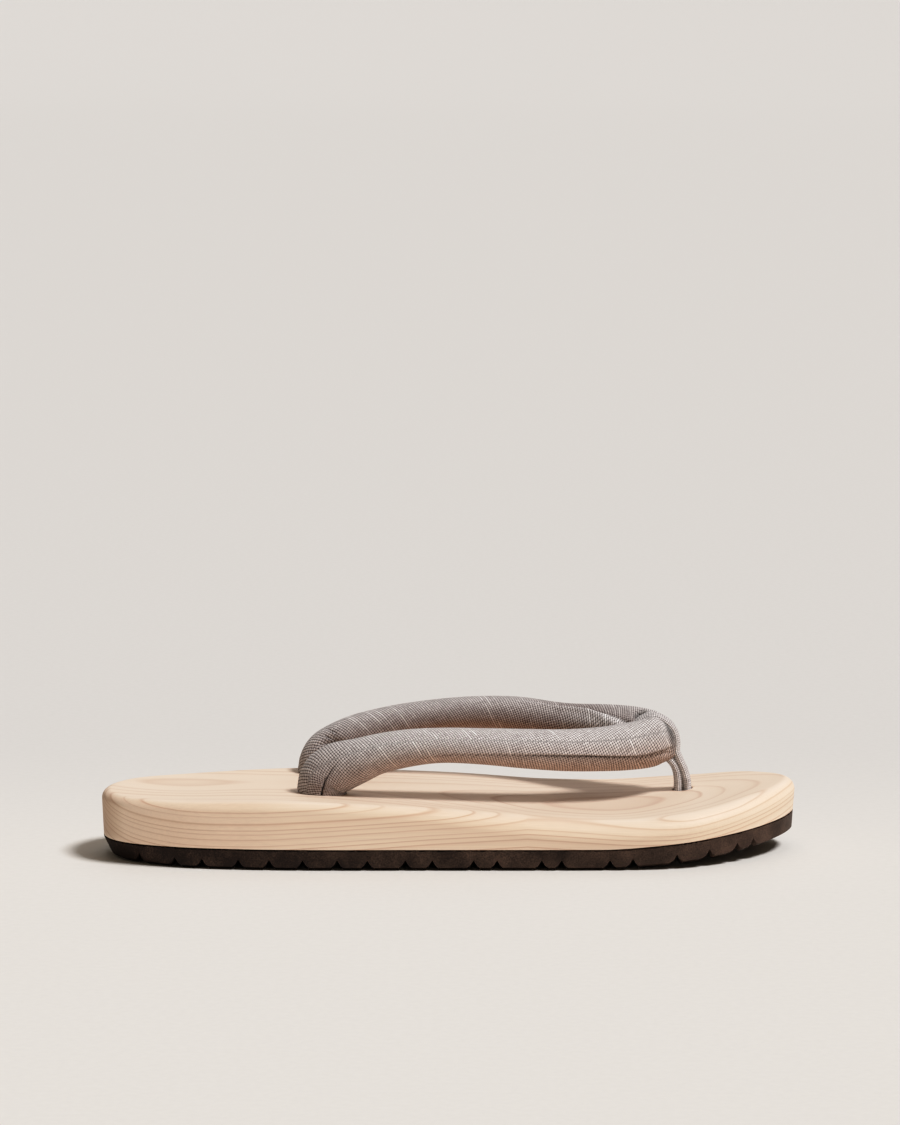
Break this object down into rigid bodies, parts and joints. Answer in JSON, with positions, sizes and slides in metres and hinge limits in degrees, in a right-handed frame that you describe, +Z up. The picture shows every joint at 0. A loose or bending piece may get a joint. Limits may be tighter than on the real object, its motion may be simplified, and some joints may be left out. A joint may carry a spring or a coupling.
{
  "type": "geta sandal",
  "caption": "Right-foot geta sandal: foot-shaped wooden base with a dished footbed, grooved rubber outsole, and a padded cloth thong held down by a toe loop.",
  "frame": {"origin": "middle of the sandal's box in plan, on the floor that it stands on", "axes": "+X from heel to toe, +Y to the inner (big toe) side of the foot, +Z up"},
  "size_m": [0.275, 0.1002, 0.0558],
  "materials": {
    "softwood": "pale fine-grained softwood, sanded, unvarnished",
    "sole_rubber": "matte dark brown rubber",
    "strap_linen": "grey melange linen, plain weave, over padding",
    "loop_linen": "grey melange linen tube"
  },
  "bodies": {
    "root": {"wood_base": "softwood", "rubber_outsole": "sole_rubber", "hanao_strap": "strap_linen", "toe_loop": "loop_linen"}
  },
  "joints": []
}
